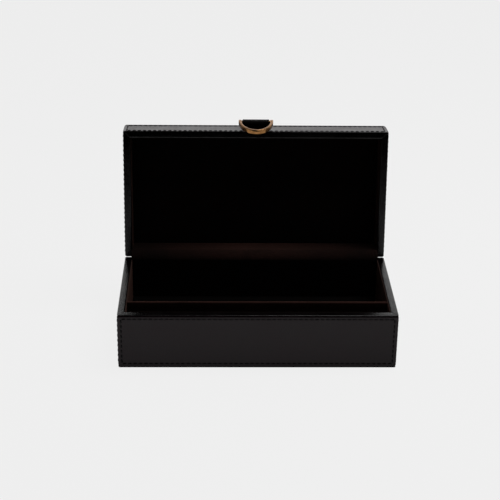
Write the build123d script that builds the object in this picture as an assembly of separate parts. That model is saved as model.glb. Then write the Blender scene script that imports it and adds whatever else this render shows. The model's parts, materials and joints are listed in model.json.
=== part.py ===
"""Hinged leather-covered poker chip case, standing open.

Millimetres. +X is to the right of a person facing the case, +Y to the rear and +Z up.
The origin is the centre of the underside. The lid is laid out closed, then turned open about the
hinge axis, which runs along X at the rear top edge of the base.
"""

import os
from math import asin, cos, degrees, radians, sin

from build123d import *

# ---- driving dimensions -----------------------------------------------------------------------
WIDTH = 280.0                # outside, along X
DEPTH = 138.5                # outside, along Y
BASE_HEIGHT = 59.3           # underside to the middle of the joint between base and lid
LID_HEIGHT = 31.4            # middle of that joint to the outside of the lid
LID_OPEN = 97.0              # degrees between the closed lid and the open one

LEATHER = 1.2                # leather skin
BOARD = 6.0                  # wall board
DECK = 5.0                   # floor board and lid top board
SUEDE = 0.9                  # suede lining
GUSSET = 0.7                 # thinner suede of the hinge gusset
LID_PAD = 2.0                # padded suede panel inside the lid
PARTING_GAP = 0.2            # air between the closed rims
CORNER_R = 2.0               # rounded upright corners of the top and bottom skins
PANEL_R = 1.0                # rounded upright edges of the front and rear skins
SKIN_EDGE_R = 0.6            # rolled outer edge of the top and bottom skins

DIVIDER_SET_BACK = 30.0      # outside of the front to the divider
DIVIDER_CORE = 1.8           # divider board
DIVIDER_SUEDE = 0.6          # suede folded over the divider board
DIVIDER_DROP = 0.3           # divider top below the rim

CHIP_D = 39.0                # chip diameter
CHIP_PLAY = 1.0              # chip to trough, radial
TROUGH_PITCH = 46.0          # between the two rows of chips
CRADLE_HEIGHT = 9.0
CRADLE_SKIN = 1.2            # least thickness under a trough
CRADLE_FIT = 0.4             # play round the cradle

HINGE_LENGTH = 240.0
KNUCKLES = 25                # counted over both leaves, odd so that the base has both ends
KNUCKLE_GAP = 0.2            # end play between neighbouring knuckles
PIN_R = 0.8
PIN_FIT = 0.07               # radial clearance of the pin
BARREL_R = 1.8
BARREL_CLEARANCE = 0.5       # round the barrel, in boards and skins
LEAF_REACH = 7.1             # hinge axis to the far edge of a leaf
LEAF_FIT = 0.1               # play round a leaf in its pocket
SCREW_COUNT = 8              # in each leaf
SCREW_R = 1.0
SCREW_LENGTH = 9.0
SCREW_HEAD_R = 1.6
SCREW_HEAD = 0.6
SCREW_BACK = 4.3             # hinge axis to the row of screws

RING_HALF = 18.35            # half the outside width of the D-ring
RING_LENGTH = 29.0           # bar axis to the outside of the round end
RING_BAND = 2.6              # metal thickness, in the plane of the ring
RING_STRIP = 4.8             # metal width, across the plane of the ring
RING_EDGE_R = 0.5
RING_BAR_R = 1.5
RING_DOWN = 18.0             # outside of the lid top to the bar axis, along the front
RING_OUT = 7.4               # face of the front skin to the bar axis
RING_REST_AIR = 0.2          # round end above the plane of the front skin

CHAPE_WIDTH = 29.6
CHAPE_LEATHER = 1.2          # chape wall round the bar
CHAPE_TAIL = 2.4             # two plies, stitched down
CHAPE_TAIL_TOP = 3.0         # outside of the lid top to the start of the tail
CHAPE_TAIL_END = 10.5        # outside of the lid top to where the loop leaves the front

# ---- worked out -------------------------------------------------------------------------------
HALF_X = WIDTH / 2
HALF_Y = DEPTH / 2
WALL = LEATHER + BOARD + SUEDE
TOP = BASE_HEIGHT + LID_HEIGHT
BASE_RIM = BASE_HEIGHT - PARTING_GAP / 2
LID_RIM = BASE_HEIGHT + PARTING_GAP / 2
BAY_X = HALF_X - WALL                                   # inside half width
BAY_Y = HALF_Y - WALL                                   # inside half depth
FLOOR = LEATHER + DECK + SUEDE                          # top of the floor lining
LID_CEILING = TOP - LEATHER - DECK - LID_PAD            # closed height of the padded panel
DIVIDER_Y = -HALF_Y + DIVIDER_SET_BACK
DIVIDER_THICK = DIVIDER_CORE + 2 * DIVIDER_SUEDE
TROUGH_R = CHIP_D / 2 + CHIP_PLAY
HINGE = Axis((0, HALF_Y, BASE_HEIGHT), (1, 0, 0))
RING_TILT = degrees(asin((RING_OUT - RING_STRIP / 2 - RING_REST_AIR) / RING_LENGTH))


def slab(x, y, z):
    """A box from the low to the high value of each pair."""
    size = [high - low for low, high in (x, y, z)]
    middle = [(high + low) / 2 for low, high in (x, y, z)]
    return Pos(*middle) * Box(*size)


def both(half):
    return (-half, half)


def mirrored_x(shape):
    return mirror(shape, about=Plane.YZ)


def bar_along_x(radius, length, y, z, x=0):
    return Pos(x, y, z) * Rot(0, 90, 0) * Cylinder(radius, length)


def rounded(shape, axis, radius, pick=lambda edges: edges):
    return fillet(pick(shape.edges().filter_by(axis)), radius)


def hinge_slot():
    """Room for the hinge barrel, cut from every wall piece along the hinge."""
    length = HINGE_LENGTH + 2 * BARREL_CLEARANCE
    return bar_along_x(BARREL_R + BARREL_CLEARANCE, length, HALF_Y, BASE_HEIGHT)


def leaf_pocket(low, high):
    """Room for one hinge leaf in the rear rim, between two heights."""
    reach = LEAF_REACH + LEAF_FIT
    x = both(HINGE_LENGTH / 2 + BARREL_CLEARANCE)
    return slab(x, (HALF_Y - reach, HALF_Y + LEATHER), (low, high))


# ---- box walls, the same for base and lid -----------------------------------------------------
def boards(low, high):
    """Front, rear, left and right wall boards between two heights."""
    outer_x, outer_y = HALF_X - LEATHER, HALF_Y - LEATHER
    front = slab(both(outer_x), (-outer_y, -outer_y + BOARD), (low, high))
    rear = slab(both(outer_x), (outer_y - BOARD, outer_y), (low, high)) - hinge_slot()
    left = slab((-outer_x, -outer_x + BOARD), both(outer_y - BOARD), (low, high))
    return {"front_board": front, "rear_board": rear,
            "left_board": left, "right_board": mirrored_x(left)}


def skins(low, high):
    """Leather over the four walls. Front and rear lap over the ends of the sides."""
    front = slab(both(HALF_X), (-HALF_Y, -HALF_Y + LEATHER), (low, high))
    rear = slab(both(HALF_X), (HALF_Y - LEATHER, HALF_Y), (low, high))
    front = rounded(front, Axis.Z, PANEL_R, lambda edges: edges.group_by(Axis.Y)[0])
    rear = rounded(rear, Axis.Z, PANEL_R, lambda edges: edges.group_by(Axis.Y)[-1]) - hinge_slot()
    left = slab((-HALF_X, -HALF_X + LEATHER), both(HALF_Y - LEATHER), (low, high))
    return {"front_leather": front, "rear_leather": rear,
            "left_leather": left, "right_leather": mirrored_x(left)}


def linings(low, high):
    """Suede on the inside of the four walls."""
    outer_x, outer_y = BAY_X + SUEDE, BAY_Y + SUEDE
    front = slab(both(outer_x), (-outer_y, -BAY_Y), (low, high))
    left = slab((-outer_x, -BAY_X), both(BAY_Y), (low, high))
    return {"front_lining": front, "rear_lining": mirror(front, about=Plane.XZ),
            "left_lining": left, "right_lining": mirrored_x(left)}


def rim_binding(low, high):
    """Leather strips over the top edges of boards and skins, mitred at the corners.

    The rear strip is in two lengths, one each side of the hinge leaf.
    """
    outer_x, outer_y = HALF_X, HALF_Y
    inner_x, inner_y = BAY_X + SUEDE, BAY_Y + SUEDE
    outside = rounded(slab(both(HALF_X), both(HALF_Y), (low, high)), Axis.Z, PANEL_R)
    corners = [(-1, -1), (1, -1), (1, 1), (-1, 1)]
    strips = []
    for (ax, ay), (bx, by) in zip(corners, corners[1:] + corners[:1]):
        outline = [(ax * outer_x, ay * outer_y), (bx * outer_x, by * outer_y),
                   (bx * inner_x, by * inner_y), (ax * inner_x, ay * inner_y)]
        face = Pos(0, 0, low) * make_face(Polyline(*outline, close=True))
        strips.append(extrude(face, high - low, dir=(0, 0, 1)) & outside)
    cutter = leaf_pocket(low - 1, high + 1) + hinge_slot()
    return Compound(children=[strip for cut in strips for strip in (cut - cutter).solids()])


def end_skin(low, high, outside_up):
    """The leather over the whole top of the lid or the whole underside of the base."""
    skin = rounded(slab(both(HALF_X), both(HALF_Y), (low, high)), Axis.Z, CORNER_R)
    outside = skin.faces().sort_by(Axis.Z)[-1 if outside_up else 0]
    return fillet(outside.edges(), SKIN_EDGE_R)


# ---- base -------------------------------------------------------------------------------------
def base_parts():
    inner_x, inner_y = HALF_X - LEATHER - BOARD, HALF_Y - LEATHER - BOARD
    parts = {}
    for group in (boards(LEATHER, BASE_RIM - LEATHER), skins(LEATHER, BASE_RIM - LEATHER),
                  linings(LEATHER + DECK, BASE_RIM)):
        parts.update({"base_" + name: shape for name, shape in group.items()})
    parts["base_floor_board"] = slab(both(inner_x), both(inner_y), (LEATHER, LEATHER + DECK))
    parts["base_floor_lining"] = slab(both(BAY_X), both(BAY_Y), (LEATHER + DECK, FLOOR))
    parts["base_bottom_leather"] = end_skin(0, LEATHER, outside_up=False)
    parts["base_rim_binding"] = rim_binding(BASE_RIM - LEATHER, BASE_RIM)
    return parts


def divider_parts():
    """A thin board glued between the side linings, with suede folded over its top edge."""
    low, high = FLOOR, BASE_RIM - DIVIDER_DROP
    core = slab(both(BAY_X), (DIVIDER_Y + DIVIDER_SUEDE, DIVIDER_Y + DIVIDER_THICK - DIVIDER_SUEDE),
                (low, high - DIVIDER_SUEDE))
    cover = slab(both(BAY_X), (DIVIDER_Y, DIVIDER_Y + DIVIDER_THICK), (low, high))
    cover = rounded(cover, Axis.X, DIVIDER_SUEDE, lambda edges: edges.group_by(Axis.Z)[-1])
    return {"divider_board": core, "divider_suede": cover - core}


def chip_cradle():
    """A suede-covered block in the rear bay with one shallow trough for each row of chips."""
    near = DIVIDER_Y + DIVIDER_THICK + CRADLE_FIT
    far = BAY_Y - CRADLE_FIT
    block = slab(both(BAY_X - CRADLE_FIT), (near, far), (FLOOR, FLOOR + CRADLE_HEIGHT))
    for side in (-1, 1):
        y = (near + far) / 2 + side * TROUGH_PITCH / 2
        block -= bar_along_x(TROUGH_R, WIDTH, y, FLOOR + CRADLE_SKIN + TROUGH_R)
    return block


# ---- hinge ------------------------------------------------------------------------------------
def knuckle_spans(first):
    """The X ranges of every second knuckle, from the first or the second one."""
    pitch = HINGE_LENGTH / KNUCKLES
    starts = [-HINGE_LENGTH / 2 + i * pitch for i in range(first, KNUCKLES, 2)]
    return [(start + KNUCKLE_GAP / 2, start + pitch - KNUCKLE_GAP / 2) for start in starts]


def hinge_leaf(first, low, high, rim):
    """One leaf with every second knuckle, lying in its pocket. rim is its countersunk side."""
    y = (HALF_Y - LEAF_REACH, HALF_Y)
    leaf = slab(both(HINGE_LENGTH / 2), y, (low, high))
    for x in knuckle_spans(1 - first):
        swept = bar_along_x(BARREL_R + BARREL_CLEARANCE / 2, x[1] - x[0] + 2 * KNUCKLE_GAP,
                            HALF_Y, BASE_HEIGHT, sum(x) / 2)
        leaf -= swept
    for x in knuckle_spans(first):
        leaf += bar_along_x(BARREL_R, x[1] - x[0], HALF_Y, BASE_HEIGHT, sum(x) / 2)
    leaf -= bar_along_x(PIN_R + PIN_FIT, WIDTH, HALF_Y, BASE_HEIGHT)
    return leaf - screw_row(rim, LEAF_FIT / 2)


def screw_xs():
    pitch = HINGE_LENGTH / SCREW_COUNT
    return [-HINGE_LENGTH / 2 + (i + 0.5) * pitch for i in range(SCREW_COUNT)]


def screw_row(head_z, play=0.0):
    """Countersunk screws whose heads are flush with head_z, running away from the parting line."""
    turn = Rot(180, 0, 0) if head_z < BASE_HEIGHT else Rot(0, 0, 0)
    screws = []
    for x in screw_xs():
        shank = Cylinder(SCREW_R + play, SCREW_LENGTH, align=(Align.CENTER, Align.CENTER, Align.MIN))
        head = Cone(SCREW_HEAD_R + play, SCREW_R + play, SCREW_HEAD,
                    align=(Align.CENTER, Align.CENTER, Align.MIN))
        screws.append(Pos(x, HALF_Y - SCREW_BACK, head_z) * turn * (shank + head))
    return Compound(children=screws)


def hinge_parts():
    return {"hinge_base_leaf": hinge_leaf(0, BASE_RIM - LEATHER, BASE_RIM, BASE_RIM),
            "hinge_lid_leaf": hinge_leaf(1, LID_RIM, LID_RIM + LEATHER, LID_RIM),
            "hinge_pin": bar_along_x(PIN_R, HINGE_LENGTH, HALF_Y, BASE_HEIGHT),
            "hinge_base_screws": screw_row(BASE_RIM), "hinge_lid_screws": screw_row(LID_RIM)}


def hinge_gusset():
    """Suede strip from the rear lining of the base round to that of the open lid."""
    def at(radius, turn):
        return (HALF_Y - radius * cos(radians(turn)), BASE_HEIGHT + radius * sin(radians(turn)))

    start = degrees(asin(PARTING_GAP / 2 / WALL))
    end = LID_OPEN - start
    middle = (start + end) / 2
    outer, inner = WALL, WALL - GUSSET
    outline = [ThreePointArc(at(outer, start), at(outer, middle), at(outer, end)),
               Line(at(outer, end), at(inner, end)),
               ThreePointArc(at(inner, end), at(inner, middle), at(inner, start)),
               Line(at(inner, start), at(outer, start))]
    section = Plane.YZ.offset(-BAY_X - SUEDE) * make_face(outline)
    return extrude(section, 2 * (BAY_X + SUEDE), dir=(1, 0, 0))


# ---- lid, laid out closed ---------------------------------------------------------------------
def lid_parts():
    parts = {}
    for group in (boards(LID_RIM + LEATHER, TOP - LEATHER - DECK),
                  skins(LID_RIM + LEATHER, TOP - LEATHER),
                  linings(LID_RIM, TOP - LEATHER - DECK)):
        parts.update({"lid_" + name: shape for name, shape in group.items()})
    outer_x, outer_y = HALF_X - LEATHER, HALF_Y - LEATHER
    parts["lid_top_board"] = slab(both(outer_x), both(outer_y), (TOP - LEATHER - DECK, TOP - LEATHER))
    parts["lid_top_lining"] = slab(both(BAY_X), both(BAY_Y), (LID_CEILING, TOP - LEATHER - DECK))
    parts["lid_top_leather"] = end_skin(TOP - LEATHER, TOP, outside_up=True)
    parts["lid_rim_binding"] = rim_binding(LID_RIM, LID_RIM + LEATHER)
    return parts


def on_front(down, out):
    """A point in the YZ plane, from the outside of the lid top down and from the front skin out."""
    return (-HALF_Y - out, TOP - down)


def pull_chape():
    """Leather tab folded round the bar of the ring and stitched to the front of the lid."""
    roll = RING_BAR_R + CHAPE_LEATHER
    rise = Polyline(on_front(CHAPE_TAIL_TOP, 0), on_front(CHAPE_TAIL_TOP, CHAPE_TAIL),
                    on_front(CHAPE_TAIL_END - CHAPE_TAIL, CHAPE_TAIL),
                    on_front(RING_DOWN - roll * sin(radians(45)), RING_OUT + roll * cos(radians(45))),
                    on_front(RING_DOWN + roll * sin(radians(30)), RING_OUT - roll * cos(radians(30))),
                    on_front(CHAPE_TAIL_END, 0), close=True)
    section = Plane.YZ.offset(-CHAPE_WIDTH / 2) * make_face(rise)
    tab = extrude(section, CHAPE_WIDTH, dir=(1, 0, 0))
    bar_y, bar_z = on_front(RING_DOWN, RING_OUT)
    loop = bar_along_x(roll, CHAPE_WIDTH, bar_y, bar_z)
    return tab + loop - bar_along_x(RING_BAR_R + PIN_FIT, WIDTH, bar_y, bar_z)


def pull_ring():
    """Half-oval ring of flat strip with a round bar, resting almost flat along the lid front."""
    outer = Ellipse(RING_HALF, RING_LENGTH)
    inner = Ellipse(RING_HALF - RING_BAND, RING_LENGTH - RING_BAND)
    below_bar = Pos(0, (RING_BAR_R - RING_LENGTH) / 2) * Rectangle(3 * RING_HALF,
                                                                  RING_LENGTH + RING_BAR_R)
    band = extrude((outer - inner) & below_bar, RING_STRIP / 2, both=True)
    rims = band.faces().filter_by(Plane.XY).edges().filter_by(GeomType.ELLIPSE)
    band = fillet(rims, RING_EDGE_R)
    ring = band + bar_along_x(RING_BAR_R, 2 * RING_HALF - RING_BAND, 0, 0)
    # Drawn flat with the round end towards -Y. Hung on the closed lid it points down, and at rest
    # its round end leans towards the front skin.
    bar_y, bar_z = on_front(RING_DOWN, RING_OUT)
    return Pos(0, bar_y, bar_z) * Rot(90 + RING_TILT, 0, 0) * ring


def opened(shape):
    return shape.rotate(HINGE, -LID_OPEN)


def build():
    hinge = hinge_parts()
    screws = hinge["hinge_base_screws"]
    parts = {**base_parts(), **divider_parts(), "chip_cradle": chip_cradle(),
             "hinge_gusset": hinge_gusset()}
    parts["base_rear_board"] -= screws
    parts.update({name: hinge[name] for name in ("hinge_base_leaf", "hinge_pin", "hinge_base_screws")})

    lid = {**lid_parts(), "pull_chape": pull_chape(), "pull_ring": pull_ring()}
    lid["lid_rear_board"] -= hinge["hinge_lid_screws"]
    lid.update({name: hinge[name] for name in ("hinge_lid_leaf", "hinge_lid_screws")})
    parts.update({name: opened(shape) for name, shape in lid.items()})
    return parts


if __name__ == "__main__":
    os.makedirs("parts", exist_ok=True)
    for node, shape in build().items():
        export_step(shape, f"parts/{node}.step")
    print("ring tilt", round(RING_TILT, 2), "degrees")
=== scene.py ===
"""Looks of the leather-covered chip case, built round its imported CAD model.

Metres, in the CAD frame: +X right, +Y rear, +Z up. Sizes that the CAD model holds are read from it.
Pieces of the lid are laid out closed, as the CAD model lays them out, and then turned open.
"""

import json
import math

import bmesh
import bpy
import numpy as np
from mathutils import Matrix


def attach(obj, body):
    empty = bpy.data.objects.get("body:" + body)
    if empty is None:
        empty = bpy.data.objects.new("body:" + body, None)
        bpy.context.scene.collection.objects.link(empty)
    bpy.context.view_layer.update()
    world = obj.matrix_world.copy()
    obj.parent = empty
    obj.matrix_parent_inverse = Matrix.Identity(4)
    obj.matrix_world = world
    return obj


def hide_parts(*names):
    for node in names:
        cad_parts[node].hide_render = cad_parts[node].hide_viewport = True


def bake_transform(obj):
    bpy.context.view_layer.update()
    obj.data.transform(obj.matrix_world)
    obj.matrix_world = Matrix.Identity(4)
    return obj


MM = 0.001
X, Y, Z = np.eye(3)

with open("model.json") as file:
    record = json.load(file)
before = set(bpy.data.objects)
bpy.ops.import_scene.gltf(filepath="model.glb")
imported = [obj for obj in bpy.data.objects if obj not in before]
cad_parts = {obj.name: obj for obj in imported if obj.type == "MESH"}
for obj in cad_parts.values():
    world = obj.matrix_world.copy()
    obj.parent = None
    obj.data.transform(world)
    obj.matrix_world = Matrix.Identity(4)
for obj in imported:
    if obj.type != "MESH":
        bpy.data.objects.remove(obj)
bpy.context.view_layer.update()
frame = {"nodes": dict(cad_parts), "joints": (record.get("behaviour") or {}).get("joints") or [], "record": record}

joints = {joint["name"]: joint for joint in frame["joints"]}
bodies = frame["record"]["behaviour"]["bodies"]
PIVOT = np.array(joints["lid_hinge"]["pos_m"], float)
LID_OPEN = math.radians(joints["lid_hinge"]["range_deg"][1])
RING_PIVOT = np.array(joints["ring_swing"]["pos_m"], float)

# ---- looks that the CAD model leaves out
EDGE_ROLL = 0.6 * MM  # rounded outer edge of a leather panel
LINING_ROLL = 0.35 * MM  # rounded edge of a suede lining
RIM_CORNER = 0.7 * MM  # a wall panel's corners under the rim binding, seen square on
FOOT_CORNER = 2.6 * MM  # its other two corners
END_CORNER = 2.0 * MM  # corners of the lid top and the underside
SKIN_WAVE = 0.05 * MM  # unevenness of a leather panel
SKIN_WEAR = 0.8 * MM  # how far the wear of its edges reaches
NOTCH_ENDS = 1.2 * MM  # length of the slope at each end of the hinge notch
NOTCH_SPREAD = 1.6 * MM  # the notch draws the panel in this much beyond its depth

BINDING_CORNER = 2.0 * MM  # outer corners of the rim binding
BINDING_ROLL = 0.5 * MM  # its rolled long edges
BINDING_END_ROLL = 0.3 * MM  # its ends in the mitres
BINDING_CROWN = 0.05 * MM
BINDING_WAVE = 0.03 * MM
UNDERCUT = 0.6 * MM  # its lower edge, back from its rolled outer edge

LINING_WAVE = 0.05 * MM
LINING_SOFT = 6 * MM  # its edge zone, free of waves
PAINTED_LIGHT_REACH = 16 * MM  # how far the painted light reaches down the side linings from their rim
PAD_CROWN = 1.1 * MM  # the padded panel's middle above its edge
PAD_SHOULDER = 7 * MM  # how soon it rises
PUCKER = 0.10 * MM  # small folds along its edge
PUCKER_SIZE = 9 * MM

DIVIDER_LEAN = 0.16 * MM  # how far its top strays to the front and rear
DIVIDER_DIP = 0.08 * MM  # how far its top edge sinks, by hand work
CRADLE_ROLL = 0.8 * MM  # rounded edge of the chip cradle
CRADLE_WAVE = 0.05 * MM
CRADLE_LEAST = 0.3 * MM  # its thinnest place
TROUGH_RADIUS = 20.5 * MM  # troughs of the chip cradle
TROUGH_SKIN = 1.2 * MM  # what is left under a trough
CREST_LINES = 9  # mesh lines over which the crests are rounded

GUSSET_THICK = 0.7 * MM
GUSSET_END = 24 * MM  # its puckered stretch at each end
GUSSET_STEP = 0.6 * MM  # mesh lines there
GUSSET_SINK = 0.30 * MM  # how far its middle hangs in
FOLD_DEPTH = 0.28 * MM  # folds at its ends
FOLD_PITCH = 3.6 * MM
FOLD_REACH = 9 * MM
CREASES = ((0.16 * MM, 14 * MM), (0.10 * MM, 3 * MM))  # depth and size

RING_BAND = 2.6 * MM  # metal thickness of the pull ring
RING_EDGE = 0.5 * MM
RING_CROWN = 0.12 * MM
RING_SHOULDER = 0.28  # how much thicker its arms are at the bar, as a share
SHOULDER_REACH = 8 * MM
BAR_SHARE = 0.985  # radius of the bar beside the radius it may have

CHAPE_PLY = 1.13 * MM
CHAPE_CORNER = 1.3 * MM  # taken off its corners at the bar
CHAPE_SEAM = 2.1 * MM
CHAPE_EDGE = 0.38 * MM  # its rolled side edges
PLY_AIR = 0.05 * MM  # between the strap and the lid
UNDER_PLY = 6.2 * MM  # flat length of the ply on the lid
OVER_PLY = 5.0 * MM  # flat length of the ply on top
UNDER_EASE = 3.2 * MM  # how gently each ply leaves its flat length
OVER_EASE = 3.0 * MM
PLY_GAP = 0.06 * MM  # between the two plies
SEAM_RISE = 0.14 * MM  # the seam's surface above two plies laid flat

PITCH = 5.35 * MM  # one stitch and the hole after it
THREAD = 0.84 * MM  # waxed thread
THREAD_TWIST = 1.1 * MM  # length of one turn of its plies
STITCH_SHARE = 0.66  # thread showing, as a share of the pitch
STITCH_SLANT = 0.10  # sideways run of a stitch, as a share of its length
STITCH_PROUD = 0.10 * MM  # thread axis above the leather
STITCH_DIP = 0.50 * MM  # thread axis below that where it goes into a hole
GROOVE_WIDTH = 0.50 * MM
GROOVE_DEPTH = 0.36 * MM  # under the middle of a stitch
GROOVE_RISE = 0.95  # share of that depth that is gone between two stitches
TUCK = 0.60 * MM  # a wall panel sinks this far under the rim binding
TUCK_REACH = 0.9 * MM
PUFF = 0.13 * MM  # leather standing up between seam and edge
PILLOW = 0.24 * MM  # a panel's middle above its long edges

BASE_INSETS = {"rim": 3.3 * MM, "foot": 3.35 * MM, "upright": 3.7 * MM, "side_upright": 2.1 * MM}
LID_INSETS = {"rim": 2.2 * MM, "foot": 1.9 * MM, "upright": 3.7 * MM, "side_upright": 2.1 * MM}
HINGE_INSET = 4.2 * MM  # stitches keep clear of the hinge
BARREL_ROOM = 0.55 * MM  # air between the hinge barrel and the skins
LEAF_ROOM = 0.5 * MM  # air between the ends of a hinge leaf and the binding
TOP_INSET = 3.0 * MM  # stitches round the lid top

CAMERA_AT = (-0.04257, -1.28388, 0.68436)
CAMERA_YAW = -1.580  # degrees, to the right of straight ahead
CAMERA_PITCH = 24.50  # degrees, down from level
CAMERA_ROLL = 0.798
CAMERA_LENS = 99.16
SENSOR_WIDTH = 36  # millimetres, as the lens

FLOOR_RADIUS = 30
CARD_HALF = 3.0  # the unseen floor card: half its width, its front and its rear
CARD_FRONT = -0.45
CARD_REAR = 0.6
CARD_DEPTH = 0.5 * MM  # how far it lies under the floor
FLOOR_LEVEL = 0.863  # brightness of the pale floor and of the horizon behind
FLOOR_GLOW = 0.835  # the part of it that doesn't depend on the lights
CARD_GLOW = 0.90  # floor round the case, as the case sees it
NEAR_SHADE = 0.57  # share of that which is left close to the case
SHADE_REACH = 120 * MM  # where that shade has gone
CONTACT_SHADE = 0.03  # share that is left where the case touches the floor
CONTACT_REACH = 5 * MM
REAR_GLOW = 2.7  # soft wall of light behind, above the horizon
HIGH_GLOW = 0.12  # share of it that is left high up
FRONT_GLOW = 0.02  # the dim room in front
OVERHEAD_AT = (0.45, 0.05, 1.1)
OVERHEAD_SIZE = (0.8, 0.5)
OVERHEAD_WATTS = 9


# ---- frame helpers
def turned(points, pivot, angle):
    """Points turned about the X direction through pivot."""
    c, s = math.cos(angle), math.sin(angle)
    turn = np.array([[1, 0, 0], [0, c, -s], [0, s, c]])
    return (np.asarray(points, float) - pivot) @ turn.T + pivot


def closed(points):
    return turned(points, PIVOT, LID_OPEN)


def opened(points):
    return turned(points, PIVOT, -LID_OPEN)


def node_points(node):
    mesh = frame["nodes"][node].data
    points = np.zeros(len(mesh.vertices) * 3, np.float32)
    mesh.vertices.foreach_get("co", points)
    return points.reshape(-1, 3).astype(float)


def home_box(node):
    """Lowest and highest corner of a CAD node, with the lid closed."""
    points = node_points(node)
    if node not in bodies["base"]:
        points = closed(points)
    return points.min(0), points.max(0)


def smoothstep(t):
    t = np.clip(t, 0, 1)
    return t * t * (3 - 2 * t)


class Placement:
    """A flat CAD solid seen as a panel: u across, v up and n out of its visible face."""

    def __init__(self, low, high, normal, up):
        self.n = np.array(normal, float)
        self.v = np.array(up, float)
        self.u = np.cross(self.v, self.n)
        size = high - low
        self.width = abs(size @ self.u)
        self.height = abs(size @ self.v)
        self.thick = abs(size @ self.n)
        middle = (low + high) / 2
        self.origin = middle - (self.u * self.width + self.v * self.height + self.n * self.thick) / 2

    def at(self, u, v, n):
        return (self.origin + np.multiply.outer(u, self.u) + np.multiply.outer(v, self.v)
                + np.multiply.outer(n, self.n))


def new_object(name, points, faces):
    mesh = bpy.data.meshes.new(name)
    mesh.from_pydata(np.asarray(points).tolist(), [], faces)
    piece = bpy.data.objects.new(name, mesh)
    bpy.context.scene.collection.objects.link(piece)
    return piece


def add_piece(name, points, faces, material, node, replaces=None, wear_and_painted_light=None, sharp=38):
    """A mesh piece that rides on the body of a CAD node. Its points are given with the lid closed."""
    body = next(b for b, members in bodies.items() if node in members)
    if body != "base":
        points = opened(points)
    piece = new_object(name, points, faces)
    mesh = piece.data
    if wear_and_painted_light is not None:
        mesh.attributes.new("wear_and_painted_light", "FLOAT", "POINT").data.foreach_set("value", wear_and_painted_light.astype(np.float32))
    mesh.shade_smooth()
    mesh.set_sharp_from_angle(angle=math.radians(sharp))
    mesh.validate()
    mesh.materials.append(material)
    if replaces:
        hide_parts(*replaces)
    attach(piece, body)
    return piece


# ---- leather panels
EDGE_SHARES = (0, 0.12, 0.3, 0.55, 0.8, 1)  # mesh lines over a rolled edge
SEAM_OFFSETS = (-2, -1.3, -0.65, 0, 0.65, 1.3, 2)  # and beside a seam, in groove widths
CROWDED = 0.35  # share of a step that two lines keep apart
LINE_GAP = 0.02 * MM


def grid_lines(length, roll, insets, step):
    """Where a panel's mesh lines run: close together over rolled edges and seams."""
    marks = []
    for share in EDGE_SHARES:
        marks += [share * roll, length - share * roll]
    for offset in SEAM_OFFSETS:
        if insets[0]:
            marks.append(insets[0] + offset * GROOVE_WIDTH)
        if insets[1]:
            marks.append(length - insets[1] + offset * GROOVE_WIDTH)
    marks = sorted(m for m in marks if 0 <= m <= length)
    low, high = insets[0] or 0, length - (insets[1] or 0)
    count = max(2, round((high - low) / step))
    even = low + (high - low) * np.arange(-3, count + 4) / count
    free = [e for e in even if 0 < e < length and np.abs(np.array(marks) - e).min() > CROWDED * step]
    lines = np.unique(np.round(sorted(marks + free), 7))
    return lines[np.concatenate([[True], np.diff(lines) > LINE_GAP])]


def seam_runs(width, height, insets):
    """The straight seams round a panel: start, direction, length and number of stitches."""
    left, right, foot, rim = insets
    corners = [(left, foot), (width - right, foot), (width - right, height - rim), (left, height - rim)]
    runs = []
    for a, b in zip(corners, corners[1:] + corners[:1]):
        a, b = np.array(a), np.array(b)
        length = np.linalg.norm(b - a)
        runs.append((a, (b - a) / length, length, max(1, round(length / PITCH))))
    return runs


def seam_depth(u, v, runs):
    """How far each stitch pulls the leather in. The leather stands up again between two stitches."""
    depth = np.zeros_like(u)
    for start, direction, length, count in runs:
        along = (u - start[0]) * direction[0] + (v - start[1]) * direction[1]
        across = (v - start[1]) * direction[0] - (u - start[0]) * direction[1]
        over = np.maximum(0, np.maximum(-along, along - length))
        near = np.exp(-(across ** 2 + over ** 2) / GROOVE_WIDTH ** 2)
        free = np.cos(math.pi * along / length * count) ** 6
        depth = np.maximum(depth, near * GROOVE_DEPTH * (1 - GROOVE_RISE * free))
    return depth


def waves(u, v, size, seed):
    """Gentle unevenness with no repeat, from -1 to 1."""
    rng = np.random.default_rng(seed)
    total = np.zeros_like(u)
    for _ in range(6):
        angle, phase = rng.uniform(0, 2 * math.pi, 2)
        scale = size * rng.uniform(0.6, 1.7)
        total += np.sin((u * math.cos(angle) + v * math.sin(angle)) / scale * 2 * math.pi + phase)
    return total / 6


def edge_distance(u, v, width, height, corner):
    """Distance to the outline of a rectangle with rounded corners."""
    qu = np.abs(u - width / 2) - (width / 2 - corner)
    qv = np.abs(v - height / 2) - (height / 2 - corner)
    outside = np.hypot(np.maximum(qu, 0), np.maximum(qv, 0))
    return corner - outside - np.minimum(np.maximum(qu, qv), 0)


def round_corners(u, v, width, height, corner):
    """Moves grid points so that the square corners become quarter circles."""
    a = (np.abs(u - width / 2) - (width / 2 - corner)) / corner
    b = (np.abs(v - height / 2) - (height / 2 - corner)) / corner
    inside = (a > 0) & (b > 0)
    reach = np.where(inside, np.maximum(a, b) / np.maximum(np.hypot(a, b), 1e-9), 1)
    side_u, side_v = np.sign(u - width / 2), np.sign(v - height / 2)
    new_u = width / 2 + side_u * (width / 2 - corner + a * reach * corner)
    new_v = height / 2 + side_v * (height / 2 - corner + b * reach * corner)
    return np.where(inside, new_u, u), np.where(inside, new_v, v)


def roll_drop(distance, radius):
    """How far a rounded edge has fallen away at a distance from the outline."""
    t = np.clip(1 - distance / radius, 0, 1)
    return radius * (1 - np.sqrt(1 - t * t))


def grid_faces(rows, columns):
    """The faces of a grid of points, and the loop of points round it."""
    index = np.arange(rows * columns).reshape(rows, columns)
    quads = np.stack([index[:-1, :-1], index[1:, :-1], index[1:, 1:], index[:-1, 1:]], -1).reshape(-1, 4)
    loop = np.concatenate([index[:, 0], index[-1, 1:], index[-2::-1, -1], index[0, -2:0:-1]])
    return quads, loop


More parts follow.
